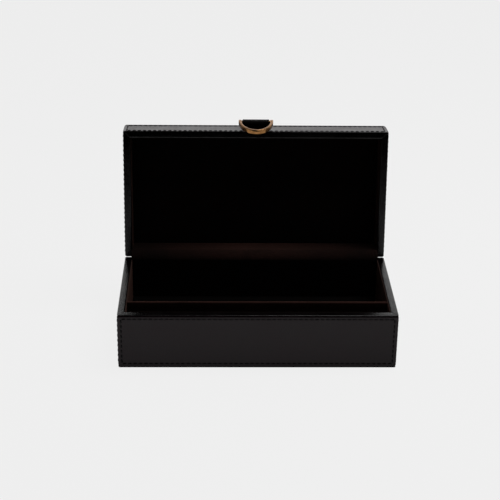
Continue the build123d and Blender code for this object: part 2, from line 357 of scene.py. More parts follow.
def backed_faces(rows, columns):
    """The faces of a grid, of its edges and of a flat back whose points follow the grid's own."""
    quads, loop = grid_faces(rows, columns)
    back = rows * columns + np.arange(len(loop))
    sides = np.stack([loop, back, np.roll(back, -1), np.roll(loop, -1)], -1)
    return quads.tolist() + sides.tolist() + [back[::-1].tolist()], loop


def shell(place, u, v, n):
    """A closed mesh from a grid of heights: the visible face, its edges and a flat back."""
    faces, loop = backed_faces(*u.shape)
    face = place.at(u.ravel(), v.ravel(), n.ravel())
    rear = place.at(u.ravel()[loop], v.ravel()[loop], np.zeros(len(loop)))
    return np.vstack([face, rear]), faces


def leather_panel(node, normal, up, insets, corners, seed, material, tucked=False, notch_half=None):
    """A skin with rolled edges and a sewn-in seam line; returns its placement. corners are the radii
    at its foot and at its rim. A tucked one sinks under the binding at its rim instead of rolling
    over. notch_half is half the length of the hinge barrel in its rim."""
    low, high = home_box(node)
    place = Placement(low, high, normal, up)
    step = PITCH / 6
    seam = insets or (None,) * 4
    u, v = np.meshgrid(grid_lines(place.width, EDGE_ROLL, seam[:2], step),
                       grid_lines(place.height, EDGE_ROLL, seam[2:], step), indexing="ij")
    corner = np.where(v < place.height / 2, *corners)
    u, v = round_corners(u, v, place.width, place.height, corner)
    edge = edge_distance(u, v, place.width, place.height, corner)
    rolled = edge_distance(u, v, place.width, 2 * place.height, corner) if tucked else edge
    n = place.thick - roll_drop(rolled, EDGE_ROLL)
    if tucked:
        n -= TUCK * smoothstep(1 - (place.height - v) / TUCK_REACH)
    fade = smoothstep(edge / (2 * EDGE_ROLL))
    n += fade * SKIN_WAVE * (waves(u, v, 45 * MM, seed) - 1)
    n -= PILLOW * (2 * v / place.height - 1) ** 2
    if insets:
        n -= seam_depth(u, v, seam_runs(place.width, place.height, insets))
        between = np.clip(edge / min(insets), 0, 1)
        n += PUFF * np.sin(math.pi * between) ** 2 - PUFF * fade
    if notch_half:
        barrel_radius = home_box("hinge_base_leaf")[1][1] - PIVOT[1]
        rim_gap = np.abs(np.array([low[2], high[2]]) - PIVOT[2]).min()
        depth = barrel_radius + BARREL_ROOM - rim_gap
        reach = smoothstep((notch_half - np.abs(u - place.width / 2)) / NOTCH_ENDS + 0.5)
        span = depth + NOTCH_SPREAD
        v = v - depth * reach * smoothstep((v - (place.height - span)) / span)
    points, faces = shell(place, u, v, n)
    wear_and_painted_light = np.exp(-(edge.ravel() / SKIN_WEAR) ** 2)
    wear_and_painted_light = np.concatenate([wear_and_painted_light, np.zeros(len(points) - len(wear_and_painted_light))])
    add_piece(node + "_skin", points, faces, material, node, [node], wear_and_painted_light)
    return place


# ---- stitches
def stitch_template():
    """One stitch along +X on the surface z=0, its ends diving into their holes."""
    sides, stations = 8, 10
    t = np.sin(np.linspace(-1, 1, stations) * math.pi / 2)
    half = STITCH_SHARE * PITCH / 2
    lift = STITCH_PROUD - (STITCH_PROUD + STITCH_DIP) * np.abs(t) ** 5
    swell = THREAD / 2 * (1 - 0.18 * t ** 4)
    around = np.arange(sides) / sides * 2 * math.pi
    points = np.zeros((stations, sides, 3))
    points[:, :, 0] = (t * half)[:, None]
    points[:, :, 1] = (t * half * STITCH_SLANT)[:, None] + swell[:, None] * np.cos(around)
    points[:, :, 2] = lift[:, None] + swell[:, None] * np.sin(around) * 0.92
    index = np.arange(stations * sides).reshape(stations, sides)
    ahead = np.roll(index, -1, axis=1)
    quads = np.stack([index[:-1], ahead[:-1], ahead[1:], index[1:]], -1).reshape(-1, 4)
    caps = [index[0][::-1].tolist(), index[-1].tolist()]
    turn = np.linspace(0, 1, sides + 1)
    along = (t * half)[:, None] * np.ones(sides)
    uv = np.stack([
        np.stack([along[:-1], along[:-1], along[1:], along[1:]], -1),
        np.stack([np.broadcast_to(a, along[:-1].shape) for a in
                  (turn[:-1], turn[1:], turn[1:], turn[:-1])], -1)], -1).reshape(-1, 2)
    return points.reshape(-1, 3), quads, caps, uv


def stitch_rows(name, place, runs, node):
    """Every stitch of a panel, as one piece of thread work."""
    template, quads, caps, uv = stitch_template()
    rng = np.random.default_rng(len(name) * 131 + len(runs))
    all_points, all_faces, all_uv = [], [], []
    offset = 0
    for start, direction, length, count in runs:
        pitch = length / count
        for k in range(count):
            u, v = start + direction * pitch * (k + 0.5)
            lean = rng.normal(0, 0.02)
            along = direction * math.cos(lean) + np.array([-direction[1], direction[0]]) * math.sin(lean)
            across = np.array([-along[1], along[0]])
            flat = np.outer(template[:, 0] * pitch / PITCH * rng.uniform(0.97, 1.03), along)
            flat = flat + np.outer(template[:, 1], across)
            height = place.thick + template[:, 2] + rng.normal(0, 0.02 * MM)
            all_points.append(place.at(u + flat[:, 0], v + flat[:, 1], height))
            all_faces += (quads + offset).tolist() + [[i + offset for i in cap] for cap in caps]
            all_uv.append(np.vstack([uv, np.zeros((sum(len(cap) for cap in caps), 2))]))
            offset += len(template)
    piece = add_piece(name, np.vstack(all_points), all_faces, thread, node, sharp=60)
    values = np.vstack(all_uv).astype(np.float32)
    piece.data.uv_layers.new(name="ply").data.foreach_set("uv", values.ravel())


# ---- rim binding and linings
ACROSS_SHARES = (0, 0.01, 0.03, 0.06, 0.10, 0.16, 0.3, 0.5, 0.7, 0.86, 0.94, 0.98, 1)
END_LINES = (0, 0.12, 0.35, 0.6, 0.9, 1.3, 1.8, 2.4)  # mesh lines at a strip's ends, in mm


def binding_strip(outer, inner, corner, top, bottom, seed):
    """A crowned leather strip between two edges in plan, rounded at the box's corner. top and bottom
    are heights."""
    (oa, ob), (ia, ib) = np.array(outer, float), np.array(inner, float)
    along_strip = (ob - oa) / np.linalg.norm(ob - oa)
    width = abs(np.cross(along_strip, ia - oa))
    length = np.linalg.norm(ob - oa)
    ends = np.array(END_LINES) * MM / length
    along = np.unique(np.concatenate([ends, 1 - ends, np.linspace(0, 1, max(6, int(length / (3 * MM))))]))
    s, w = np.meshgrid(along, np.array(ACROSS_SHARES), indexing="ij")
    plan = ((oa + np.multiply.outer(s, ob - oa)) * (1 - w)[..., None]
            + (ia + np.multiply.outer(s, ib - ia)) * w[..., None])
    edge = np.minimum(w, 1 - w) * width
    end = np.minimum(s, 1 - s) * length
    drop = roll_drop(edge, BINDING_ROLL) + BINDING_CROWN * (2 * w - 1) ** 2
    drop = drop + 0.8 * roll_drop(end, BINDING_END_ROLL)
    drop = drop + BINDING_WAVE * (1 + waves(s * length, w * width, 23 * MM, seed))
    height = top + np.sign(bottom - top) * drop
    over = (np.abs(plan) - (corner - BINDING_CORNER)) / BINDING_CORNER
    reach = over.max(-1) / np.maximum(np.hypot(over[..., 0], over[..., 1]), 1e-9)
    rounded = np.sign(plan) * (corner - BINDING_CORNER + over * reach[..., None] * BINDING_CORNER)
    plan = np.where((over > 0).all(-1)[..., None], rounded, plan)
    face = np.dstack([plan, height]).reshape(-1, 3)
    faces, loop = backed_faces(*s.shape)
    rear = face[loop].copy()
    rear[:, 2] = bottom
    inward = (ia - oa) - along_strip * ((ia - oa) @ along_strip)
    outer_edge = w.ravel()[loop] == 0
    rear[outer_edge, :2] += inward / width * UNDERCUT
    area = np.cross(np.append(ob - oa, 0), np.append(ia - oa, 0))[2] * np.sign(top - bottom)
    if area < 0:
        faces = [corners[::-1] for corners in faces]
    wear_and_painted_light = np.concatenate([np.exp(-(edge.ravel() / BINDING_ROLL) ** 2), np.zeros(len(loop))])
    return np.vstack([face, rear]), faces, wear_and_painted_light


def rim_binding(body):
    """The four strips on the wall boards' edges; the hinge leaf interrupts the rear one."""
    node = body + "_rim_binding"
    low, high = home_box(node)
    outer_x, outer_y = high[0], high[1]
    inner_x = home_box(body + "_right_lining")[1][0]
    inner_y = home_box(body + "_rear_lining")[1][1]
    leaf_x = home_box(f"hinge_{body}_leaf")[1][0] + LEAF_ROOM
    top, bottom = (high[2], low[2]) if body == "base" else (low[2], high[2])
    strips = [
        ([(-outer_x, -outer_y), (outer_x, -outer_y)], [(-inner_x, -inner_y), (inner_x, -inner_y)]),
        ([(outer_x, -outer_y), (outer_x, outer_y)], [(inner_x, -inner_y), (inner_x, inner_y)]),
        ([(-outer_x, outer_y), (-outer_x, -outer_y)], [(-inner_x, inner_y), (-inner_x, -inner_y)]),
        ([(outer_x, outer_y), (leaf_x, outer_y)], [(inner_x, inner_y), (leaf_x, inner_y)]),
        ([(-leaf_x, outer_y), (-outer_x, outer_y)], [(-leaf_x, inner_y), (-inner_x, inner_y)]),
    ]
    points, faces, wear_and_painted_light = [], [], []
    for seed, (outer, inner) in enumerate(strips):
        strip_points, strip_faces, strip_wear = binding_strip(outer, inner, high[:2], top, bottom, seed)
        offset = sum(len(p) for p in points)
        points.append(strip_points)
        faces += [[i + offset for i in face] for face in strip_faces]
        wear_and_painted_light.append(strip_wear)
    add_piece(node + "_strips", np.vstack(points), faces, rim_leather, node,
              [node], np.concatenate(wear_and_painted_light))


def lining_panel(node, normal, up, seed, material, rubbed_and_painted_lit=False, crown=0.0, step=4 * MM):
    """A suede lining with a soft edge. When asked, painted light makes it lighter towards its rim and it stays
    darker deeper down, where less light reaches. A crown makes it a padded panel."""
    low, high = home_box(node)
    place = Placement(low, high, normal, up)
    u, v = np.meshgrid(grid_lines(place.width, LINING_ROLL, (None, None), step),
                       grid_lines(place.height, LINING_ROLL, (None, None), step), indexing="ij")
    edge = edge_distance(u, v, place.width, place.height, 0.0)
    n = place.thick - roll_drop(edge, LINING_ROLL)
    fade = smoothstep(edge / LINING_SOFT)
    n += fade * LINING_WAVE * (waves(u, v, 30 * MM, seed) - 1)
    if crown:
        rise = 1 - np.exp(-edge / PAD_SHOULDER)
        near_edge = np.exp(-edge / PUCKER_SIZE) * smoothstep(edge / (2 * MM))
        n += crown * (rise - 1) + PUCKER * waves(u, v, PUCKER_SIZE, seed + 50) * near_edge
    points, faces = shell(place, u, v, n)
    wear_and_painted_light = np.zeros(len(points))
    # Painted light: strongest at the rim, fading downwards, for light falling in from above.
    if rubbed_and_painted_lit:
        wear_and_painted_light[:v.size] = np.exp((v.ravel() - place.height) / PAINTED_LIGHT_REACH)
    return add_piece(node + "_suede", points, faces, material, node, [node], wear_and_painted_light)


# ---- inside the base
def tube_faces(rings, count):
    """The faces of a tube of rings, each of count points, and of its two ends."""
    index = np.arange(rings * count).reshape(rings, count)
    ahead = np.roll(index, -1, axis=1)
    quads = np.stack([index[:-1], index[1:], ahead[1:], ahead[:-1]], -1).reshape(-1, 4)
    return quads.tolist() + [index[0].tolist(), index[-1][::-1].tolist()]


def extruded(section, xs, inset):
    """A closed mesh from a loop of (y, z) points along X. inset(x) pulls the loop in near its ends."""
    section = np.asarray(section, float)
    ahead, behind = np.roll(section, -1, axis=0), np.roll(section, 1, axis=0)
    tangent = ahead - behind
    normal = np.stack([tangent[:, 1], -tangent[:, 0]], -1)
    normal /= np.linalg.norm(normal, axis=1)[:, None]
    rings = []
    for x in xs:
        loop = section - normal * inset(x)
        rings.append(np.column_stack([np.full(len(loop), x), loop]))
    return np.vstack(rings), tube_faces(len(xs), len(section))


def divider():
    """Suede folded over the top of a thin board, a little uneven by hand work."""
    low, high = home_box("divider_suede")
    radius = 0.45 * (high[1] - low[1])
    arc = np.linspace(0, math.pi / 2, 7)
    heights = np.linspace(low[2], high[2] - radius, 14)
    front = [(low[1], z) for z in heights]
    crest = high[2] - radius
    near = [(low[1] + radius - radius * math.cos(a), crest + radius * math.sin(a)) for a in arc[1:]]
    far = [(high[1] - radius + radius * math.sin(a), crest + radius * math.cos(a)) for a in arc]
    back = [(high[1], z) for z in heights[::-1][1:]]
    xs = np.linspace(low[0], high[0], 120)
    points, faces = extruded(front + near + far + back, xs, lambda x: 0.0)
    share = (points[:, 2] - low[2]) / (high[2] - low[2])
    points[:, 1] += share * DIVIDER_LEAN * waves(points[:, 0], points[:, 2], 60 * MM, 5)
    points[:, 2] -= share ** 8 * DIVIDER_DIP * (1 + waves(points[:, 0], points[:, 1], 35 * MM, 6))
    add_piece("divider_suede_cover", points, faces, divider_suede, "divider_suede",
              ["divider_suede"])


def cradle():
    """The suede-covered block with a trough for each row of chips."""
    low, high = home_box("chip_cradle")
    place = Placement(low, high, Z, Y)
    troughs = [box for box in frame["record"]["physics"]["openings"] if box["name"].endswith("trough")]
    us = grid_lines(place.width, CRADLE_ROLL, (None, None), 6 * MM)
    vs = np.linspace(0, place.height, 150)
    u, v = np.meshgrid(us, vs, indexing="ij")
    n = np.full_like(u, place.thick)
    for box in troughs:
        middle = (box["box_m"][0][1] + box["box_m"][1][1]) / 2 - low[1]
        sag = np.sqrt(np.maximum(TROUGH_RADIUS ** 2 - (v - middle) ** 2, 0))
        dip = TROUGH_SKIN + TROUGH_RADIUS - sag
        n = np.minimum(n, np.where(np.abs(v - middle) < TROUGH_RADIUS, dip, place.thick))
    kernel = np.hanning(CREST_LINES)
    kernel /= kernel.sum()
    padded = np.pad(n, ((0, 0), (CREST_LINES // 2, CREST_LINES // 2)), mode="edge")
    n = np.stack([np.convolve(row, kernel, mode="valid") for row in padded])
    edge = edge_distance(u, v, place.width, place.height, 0.0)
    n -= roll_drop(edge, CRADLE_ROLL) * np.clip(n / place.thick, 0, 1)
    n += CRADLE_WAVE * waves(u, v, 25 * MM, 8) * smoothstep(edge / (3 * MM))
    points, faces = shell(place, u, v, np.maximum(n, CRADLE_LEAST))
    add_piece("chip_cradle_suede", points, faces, cradle_painted_shade_suede, "chip_cradle", ["chip_cradle"])


def gusset():
    """The suede strip over the hinge, puckered towards its ends. It is laid as an arc between base and lid, with
    the lid open.
    """
    low, high = home_box("base_rear_lining")
    half = high[0]
    outer = PIVOT[1] - low[1]
    gap = PIVOT[2] - high[2]
    start = math.asin(gap / outer)
    angles = np.linspace(start, LID_OPEN - start, 25)
    xs = np.concatenate([np.arange(-half, -half + GUSSET_END, GUSSET_STEP),
                         np.linspace(-half + GUSSET_END, half - GUSSET_END, 110),
                         np.arange(half - GUSSET_END + GUSSET_STEP, half + 0.1 * MM, GUSSET_STEP)])
    xs = np.clip(xs, -half, half)
    x, a = np.meshgrid(xs, angles, indexing="ij")
    share = (a - angles[0]) / (angles[-1] - angles[0])
    held = np.sin(math.pi * share)
    from_end = half - np.abs(x)
    folds = np.cos(2 * math.pi * x / FOLD_PITCH + 2.2 * share) * np.exp(-from_end / FOLD_REACH)
    (broad, broad_size), (fine, fine_size) = CREASES
    creases = broad * waves(x, a * outer, broad_size, 11) + fine * waves(x * 0.25, a * outer, fine_size, 12)
    sink = held * (GUSSET_SINK + FOLD_DEPTH * folds + creases)
    sheet_outer = outer - np.maximum(sink, 0)
    sheet_inner = sheet_outer - GUSSET_THICK

    def surface(radius):
        y = PIVOT[1] - radius * np.cos(a)
        z = PIVOT[2] + radius * np.sin(a)
        return np.dstack([x, y, z]).reshape(-1, 3)

    front, loop = grid_faces(*x.shape)
    shift = x.size
    back = front[:, ::-1] + shift
    sides = np.stack([loop, loop + shift, np.roll(loop, -1) + shift, np.roll(loop, -1)], -1)
    points = np.vstack([surface(sheet_outer), surface(sheet_inner)])
    faces = front.tolist() + back.tolist() + sides.tolist()
    piece = new_object("hinge_gusset_suede", points, faces)
    piece.data.shade_smooth()
    piece.data.set_sharp_from_angle(angle=math.radians(50))
    piece.data.materials.append(gusset_painted_lit_suede)
    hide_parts("hinge_gusset")
    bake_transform(piece)


# ---- pull ring and its chape
def swept(path, normal_of, section):
    """Carries a cross-section along a path. section holds (side, up) pairs."""
    rings = []
    for i, point in enumerate(path):
        side, up = normal_of(i)
        rings.append(point + np.multiply.outer(section[:, 0], side) + np.multiply.outer(section[:, 1], up))
    return np.vstack(rings), tube_faces(len(path), len(section))


def rounded_section(width, height, radius, crown):
    """A rectangle with rounded corners, its long faces a little crowned."""
    points = []
    for cx, cy, first in ((1, 1, 0), (-1, 1, 90), (-1, -1, 180), (1, -1, 270)):
        for k in range(7):
            a = math.radians(first + 15 * k)
            points.append((cx * (width / 2 - radius) + radius * math.cos(a),
                           cy * (height / 2 - radius) + radius * math.sin(a)))
    points = np.array(points)
    points[:, 0] -= np.sign(points[:, 0]) * crown * (2 * points[:, 1] / height) ** 2
    return points


def pull_ring():
    """The brass pull ring: a flat strip bent to a half oval, closed by a round bar."""
    points = closed(node_points("pull_ring"))
    pivot = closed(RING_PIVOT)
    down = points.mean(0) - pivot
    down[0] = 0
    down /= np.linalg.norm(down)
    face = np.cross(X, down)
    half = points[:, 0].max()
    length = ((points - pivot) @ down).max()
    strip = np.ptp((points - pivot) @ face)
    bar_radius = -((points - pivot) @ down).min()
    middle = half - RING_BAND / 2
    reach = length - RING_BAND / 2
    heel = pivot - down * bar_radius
    path, directions = [heel + X * middle], [X]
    for a in np.linspace(0, math.pi, 97):
        path.append(pivot + X * middle * math.cos(a) + down * reach * math.sin(a))
        out = X * math.cos(a) * reach + down * math.sin(a) * middle
        directions.append(out / np.linalg.norm(out))
    path.append(heel - X * middle)
    directions.append(-X)
    section = rounded_section(RING_BAND, strip, RING_EDGE, RING_CROWN)
    last = len(path) - 1
    # The arms are thicker near the bar, on their inner side.
    below = np.array([max((point - pivot) @ down, 0.0) for point in path])
    thickness = 1 + RING_SHOULDER * np.exp(-(below / SHOULDER_REACH) ** 2)
    path = [point - direction * RING_BAND * (t - 1) / 2
            for point, direction, t in zip(path, directions, thickness)]

    def frame_at(i):
        pinch = 0.8 if i in (0, last) else 1
        return directions[i] * pinch * thickness[i], face * pinch

    ring_points, ring_faces = swept(path, frame_at, section)
    around = np.linspace(0, 2 * math.pi, 29)[:-1]
    circle = np.column_stack([np.cos(around), np.sin(around)]) * bar_radius * BAR_SHARE
    xs = np.linspace(-middle, middle, 9)
    bar_path = [pivot + X * x for x in xs]
    bar_points, bar_faces = swept(bar_path, lambda i: (down, face), circle)
    bar_faces = [f[::-1] for f in bar_faces]
    faces = ring_faces + [[i + len(ring_points) for i in f] for f in bar_faces]
    ring = add_piece("pull_ring_brass", np.vstack([ring_points, bar_points]), faces, brass, "pull_ring",
                     ["pull_ring"], sharp=50)
    fix_normals(ring)


def fix_normals(piece):
    """Turns every face outwards."""
    mesh = bmesh.new()
    mesh.from_mesh(piece.data)
    bmesh.ops.recalc_face_normals(mesh, faces=mesh.faces)
    mesh.to_mesh(piece.data)
    mesh.free()


def bezier(p0, p1, p2, p3, count):
    t = np.linspace(0, 1, count)[:, None]
    return (1 - t) ** 3 * p0 + 3 * t * (1 - t) ** 2 * p1 + 3 * t ** 2 * (1 - t) * p2 + t ** 3 * p3


def chape():
    """A leather strap folded round the bar and stitched down on the lid front."""
    low, high = home_box("pull_chape")
    skin_face = home_box("lid_front_leather")[0][1]
    top = home_box("lid_top_leather")[1][2]
    pivot = closed(RING_PIVOT)
    roll_out = pivot[1] - low[1]
    thick = CHAPE_PLY
    radius = roll_out - thick / 2
    centre = np.array([top - pivot[2], skin_face - pivot[1]])
    tail_top = top - high[2]

    def toward(angle):
        return centre + radius * np.array([math.cos(angle), math.sin(angle)])

    # (down, out) pairs: under ply, round the bar, upper ply.
    ply = thick / 2 + PLY_AIR
    over_ply = ply + thick + PLY_GAP
    under_end, over_start = math.radians(-52), math.radians(118)
    under_tangent = np.array([-math.sin(under_end), math.cos(under_end)])
    over_tangent = np.array([-math.sin(over_start), math.cos(over_start)])
    under = np.array([tail_top, ply])
    leave = np.array([tail_top + UNDER_PLY, ply])
    over = np.array([tail_top, over_ply])
    land = np.array([tail_top + OVER_PLY, over_ply])
    line = [np.linspace(under, leave, 8)[:-1],
            bezier(leave, leave + [UNDER_EASE, 0], toward(under_end) - under_tangent * OVER_EASE,
                   toward(under_end), 12)[:-1],
            np.array([toward(a) for a in np.linspace(under_end, over_start, 26)])[:-1],
            bezier(toward(over_start), toward(over_start) + over_tangent * OVER_EASE,
                   land + [OVER_EASE, 0], land, 12)[:-1],
            np.linspace(land, over, 7)]
    line = np.vstack(line)
    tangent = np.gradient(line, axis=0)
    tangent /= np.linalg.norm(tangent, axis=1)[:, None]
    normal = np.column_stack([tangent[:, 1], -tangent[:, 0]])
    outer, inner = line + normal * thick / 2, line - normal * thick / 2
    loop = np.vstack([outer, inner[::-1]])
    section = np.column_stack([skin_face - loop[:, 1], top - loop[:, 0]])
    half = high[0]
    ends = np.array([0, 0.1, 0.25, 0.5, 0.9, 1.6]) * MM
    flat = half - 2.6 * MM
    xs = np.concatenate([-half + ends, np.linspace(-flat, flat, 24), (half - ends)[::-1]])

    def inset(x):
        return float(roll_drop(half - abs(x), CHAPE_EDGE)) * 0.9

    def narrowed(points):
        """Rounds the strap's corners where it turns round the bar."""
        out = (skin_face - points[:, 1] - centre[1]) / roll_out
        pull = CHAPE_CORNER * smoothstep(out) * (np.abs(points[:, 0]) / half) ** 24
        points[:, 0] -= np.sign(points[:, 0]) * pull
        return points

    points, faces = extruded(section, xs, inset)
    piece = add_piece("pull_chape_leather", narrowed(points), faces, chape_leather, "pull_chape",
                      ["pull_chape"], sharp=50)
    fix_normals(piece)

    face_height = 2 * thick + SEAM_RISE
    tail_low = np.array([-half, skin_face - face_height, high[2] - 8 * MM])
    tail_high = np.array([half, skin_face, high[2]])
    place = Placement(tail_low, tail_high, -Y, -Z)
    start = np.array([CHAPE_SEAM, CHAPE_SEAM])
    length = place.width - 2 * CHAPE_SEAM
    runs = [(start, np.array([1.0, 0.0]), length, round(length / PITCH))]
    stitch_rows("pull_chape_stitching", place, runs, "pull_chape")


# ---- materials
class Nodes:
    """A node tree, with short ways to add and link nodes."""

    def __init__(self, tree):
        self.tree = tree

    def add(self, kind, inputs=None, **values):
        node = self.tree.nodes.new("ShaderNode" + kind)
        for key, value in values.items():
            setattr(node, key, value)
        for key, value in (inputs or {}).items():
            node.inputs[key].default_value = value
        return node

    def link(self, output, target):
        self.tree.links.new(output, target)

    def coords(self):
        return self.add("TexCoord").outputs["Object"]

    def noise(self, vector, scale, detail=3.0, roughness=0.55):
        node = self.add("TexNoise", {"Scale": scale, "Detail": detail, "Roughness": roughness})
        self.link(vector, node.inputs["Vector"])
        return node.outputs["Fac"]

    def math(self, operation, a, b=None):
        node = self.add("Math", operation=operation)
        for socket, value in zip(node.inputs, (a, b)):
            if value is None:
                continue
            if isinstance(value, (int, float)):
                socket.default_value = value
            else:
                self.link(value, socket)
        return node.outputs[0]

    def spread(self, value, low, high, from_low=0.0, from_high=1.0, kind="LINEAR"):
        """Takes the range from_low..from_high to low..high."""
        ends = {"From Min": from_low, "From Max": from_high, "To Min": low, "To Max": high}
        node = self.add("MapRange", ends, interpolation_type=kind)
        self.link(value, node.inputs["Value"])
        return node.outputs[0]

    def blend(self, factor, a, b):
        node = self.add("Mix", data_type="RGBA")
        self.link(factor, node.inputs["Factor"])
        for socket, value in zip((node.inputs[6], node.inputs[7]), (a, b)):
            if isinstance(value, tuple):
                socket.default_value = (*value, 1)
            else:
                self.link(value, socket)
        return node.outputs[2]

    def bump(self, height, distance, strength, before=None):
        node = self.add("Bump", {"Distance": distance, "Strength": strength})
        self.link(height, node.inputs["Height"])
        if before is not None:
            self.link(before, node.inputs["Normal"])
        return node.outputs["Normal"]


class Surface(Nodes):
    """A material's node tree and its shader."""

    def __init__(self, name):
        self.material = bpy.data.materials.new(name)
        self.material.use_nodes = True
        super().__init__(self.material.node_tree)
        self.shader = next(n for n in self.tree.nodes if n.type == "BSDF_PRINCIPLED")

    def set(self, **values):
        for key, value in values.items():
            socket = self.shader.inputs[key.replace("_", " ")]
            if isinstance(value, (int, float)):
                socket.default_value = value
            elif isinstance(value, tuple):
                socket.default_value = (*value, 1) if len(value) == 3 else value
            else:
                self.link(value, socket)


def leather_material(name, dark, light, rough, specular, grain=0.35):
    """Fine-grained leather: pebbled cells, pores, faint clouding and edges rubbed brighter."""
    nodes = Surface(name)
    where = nodes.coords()
    cells = nodes.add("TexVoronoi", {"Scale": 1250, "Smoothness": 0.35}, feature="SMOOTH_F1")
    nodes.link(where, cells.inputs["Vector"])
    pores = nodes.noise(where, 2600, 2)
    cloud = nodes.noise(where, 32, 4)
    rubbed_and_painted_lit = nodes.add("Attribute", attribute_name="wear_and_painted_light")
    patches = nodes.spread(nodes.noise(where, 210, 4, 0.65), 0.1, 1.0, 0.35, 0.7)
    wear_and_painted_light = nodes.math("MULTIPLY", rubbed_and_painted_lit.outputs["Fac"], patches)
    tone = nodes.blend(nodes.spread(cloud, 0, 1, 0.3, 0.7), dark, light)
    worn = tuple(min(1.0, c * 2.6 + 0.004) for c in light)
    colour = nodes.blend(nodes.math("MULTIPLY", wear_and_painted_light, 0.55), tone, worn)
    roughness = nodes.spread(cloud, rough - 0.05, rough + 0.06, 0.3, 0.7)
    roughness = nodes.math("SUBTRACT", roughness, nodes.math("MULTIPLY", wear_and_painted_light, 0.08))
    coarse = nodes.bump(cells.outputs["Distance"], 0.00022, grain)
    fine = nodes.bump(pores, 0.00008, grain * 0.6, coarse)
    nodes.set(Base_Color=colour, Roughness=roughness, Normal=fine, Specular_IOR_Level=specular)
    return nodes.material


SUEDE_DARK = (0.0022, 0.0010, 0.0008)
SUEDE_LIGHT = (0.0050, 0.0021, 0.0017)
# Painted light: the colour the base's side linings take on near their rim.
SUEDE_PAINTED_LIT = (0.030, 0.017, 0.014)


def suede_material(name, tone, sheen, painted_end_shade_share=1.0):
    """Short napped suede: brushed patches, fine fibres and a soft sheen. The share given for the ends is what
    is left of its lightness at a piece's ends: painted shade towards the ends, painted light in its middle."""
    nodes = Surface(name)
    where = nodes.coords()
    brushed = nodes.noise(where, 38, 5, 0.62)
    fibres = nodes.noise(where, 1500, 3, 0.7)
    tufts = nodes.noise(where, 340, 3, 0.6)
    # The brushed patches are the suede's own tone; the tufts part is painted shade, darker in the hollows of the
    # tufts' bump.
    shade = nodes.math("ADD", nodes.math("MULTIPLY", brushed, 0.7), nodes.math("MULTIPLY", tufts, 0.3))
    low = tuple(tone * c for c in SUEDE_DARK)
    high = tuple(tone * c for c in SUEDE_LIGHT)
    colour = nodes.blend(nodes.spread(shade, 0, 1, 0.36, 0.64), low, high)
    # On suede this mark carries painted light, used only on the base's side linings.
    rubbed_and_painted_lit = nodes.add("Attribute", attribute_name="wear_and_painted_light")
    colour = nodes.blend(rubbed_and_painted_lit.outputs["Fac"], colour, SUEDE_PAINTED_LIT)
    # Painted shade towards the piece's ends along X and painted light in its middle; the sheen fades with it.
    if painted_end_shade_share < 1:
        split = nodes.add("SeparateXYZ")
        nodes.link(where, split.inputs[0])
        from_middle = nodes.math("ABSOLUTE", split.outputs[0])
        share = nodes.spread(from_middle, 1.0, painted_end_shade_share, 0.020, 0.115)
        colour = nodes.blend(share, tuple(painted_end_shade_share * c for c in low), colour)
        sheen = nodes.math("MULTIPLY", share, sheen)
    rough = nodes.spread(brushed, 0.88, 1.0, 0.3, 0.7)
    soft = nodes.bump(tufts, 0.0006, 0.35)
    nap = nodes.bump(fibres, 0.00025, 0.45, soft)
    nodes.set(Base_Color=colour, Roughness=rough, Normal=nap, Specular_IOR_Level=0.06,
              Sheen_Weight=sheen, Sheen_Roughness=0.35, Sheen_Tint=(0.30, 0.135, 0.10))
    return nodes.material


def thread_material():
    """Waxed thread, its two plies twisted together."""
    nodes = Surface("black_thread")
    ply = nodes.add("UVMap", uv_map="ply")
    split = nodes.add("SeparateXYZ")
    nodes.link(ply.outputs[0], split.inputs[0])
    run = nodes.math("MULTIPLY", split.outputs[0], 1 / THREAD_TWIST)
    turns = nodes.math("ADD", run, nodes.math("MULTIPLY", split.outputs[1], 2))
    wave = nodes.math("SINE", nodes.math("MULTIPLY", turns, 2 * math.pi))
    twist_and_painted_shade = nodes.spread(wave, 0, 1, -1, 1)
    fuzz = nodes.noise(nodes.coords(), 3000, 2)
    # Painted shade: the thread is darker where the twist's bump is low, in the grooves between its plies.
    colour = nodes.blend(twist_and_painted_shade, (0.0008, 0.0007, 0.0008), (0.0024, 0.0021, 0.0023))
    twisted = nodes.bump(twist_and_painted_shade, 0.00012, 0.7)
    surface = nodes.bump(fuzz, 0.00005, 0.3, twisted)
    nodes.set(Base_Color=colour, Roughness=nodes.spread(fuzz, 0.42, 0.6, 0.3, 0.7), Normal=surface,
              Specular_IOR_Level=0.16)
    return nodes.material


def brass_material(name, colour, tarnish, rough, scratch):
    """Brass with a hand-polished surface: fine scratches and slightly uneven tarnish."""
    nodes = Surface(name)
    where = nodes.coords()
    stretch = nodes.add("Mapping", {"Scale": (0.12, 1, 1)})
    nodes.link(where, stretch.inputs["Vector"])
    scratches = nodes.noise(stretch.outputs[0], 5200, 4, 0.7)
    dull = nodes.noise(where, 240, 5, 0.6)
    tone = nodes.blend(nodes.spread(dull, 0, 1, 0.38, 0.75), colour, tarnish)
    roughness = nodes.spread(dull, rough - 0.04, rough + 0.10, 0.35, 0.75)
    surface = nodes.bump(scratches, 0.00002, scratch)
    nodes.set(Base_Color=tone, Metallic=1.0, Roughness=roughness, Normal=surface)
    return nodes.material


def board_material():
    """Raw fibreboard: pressed fibres, a little mottled."""
    nodes = Surface("fibreboard")
    where = nodes.coords()
    fibres = nodes.noise(where, 900, 5, 0.75)
    mottle = nodes.noise(where, 60, 4)
    tone = nodes.blend(nodes.spread(mottle, 0, 1, 0.3, 0.7), (0.30, 0.205, 0.13), (0.42, 0.30, 0.19))
    colour = nodes.blend(nodes.spread(fibres, 0, 0.35, 0.4, 0.75), tone, (0.16, 0.10, 0.06))
    nodes.set(Base_Color=colour, Roughness=nodes.spread(fibres, 0.82, 0.95), Specular_IOR_Level=0.25,
              Normal=nodes.bump(fibres, 0.0003, 0.4))
    return nodes.material


# ---- stage
def flat_stage(name, outline, height):
    """A flat stage piece at a height."""
    piece = new_object(name, [(x, y, height) for x, y in outline], [tuple(range(len(outline)))])
    return piece


